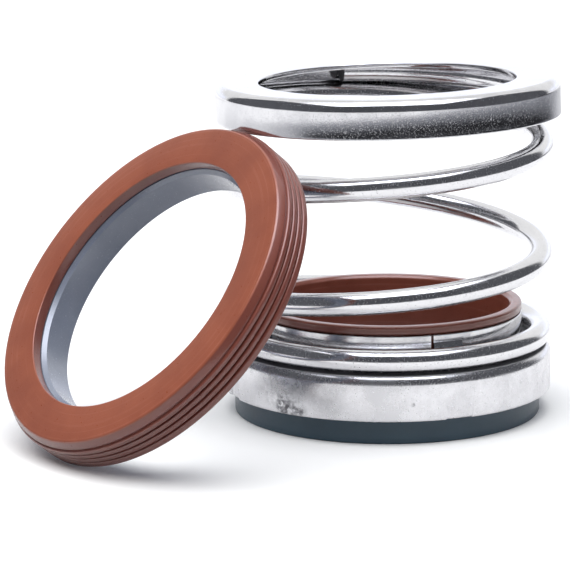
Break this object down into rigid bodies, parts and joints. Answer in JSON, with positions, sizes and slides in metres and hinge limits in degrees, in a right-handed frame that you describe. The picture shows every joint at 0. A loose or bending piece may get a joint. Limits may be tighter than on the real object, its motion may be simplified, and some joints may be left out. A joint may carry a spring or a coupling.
{
  "type": "component mechanical seal",
  "caption": "Elastomer bellows shaft seal: rotary head with sprung holder, banded bellows and dark face ring, beside its ribbed rubber-cupped stationary seat.",
  "frame": {"origin": "centre of the primary ring's seal face, where its bore opens", "axes": "+Z along the shaft from the seal face towards the spring holder; the seat leans on the -X, -Y side"},
  "size_m": [0.1065, 0.0973, 0.0661],
  "materials": {
    "pressed_steel": "bright pressed stainless sheet, lightly scuffed",
    "spring_steel": "bright drawn stainless wire",
    "carbide": "dark satin silicon carbide",
    "seat_ceramic": "blue-grey satin",
    "elastomer": "red-brown moulded rubber, satin"
  },
  "bodies": {
    "holder": {"spring_holder": "pressed_steel", "coil_spring": "spring_steel", "seat_ring": "seat_ceramic", "seat_cup": "elastomer"},
    "face_unit": {"retainer": "pressed_steel", "disc": "pressed_steel", "primary_ring": "carbide", "bellows": "elastomer"},
    "band": {"drive_band": "pressed_steel"}
  },
  "joints": [
    {"name": "compression", "type": "slide", "parent": "holder", "child": "face_unit", "axis": [0, 0, 1], "range_m": [0, 0.022], "stiffness_N_per_m": 6000, "deforming": ["coil_spring"]},
    {"name": "band_float", "type": "slide", "parent": "face_unit", "child": "band", "axis": [0, 0, 1], "range_m": [0, 0.0015], "stiffness_N_per_m": 4000, "deforming": ["bellows"]}
  ]
}
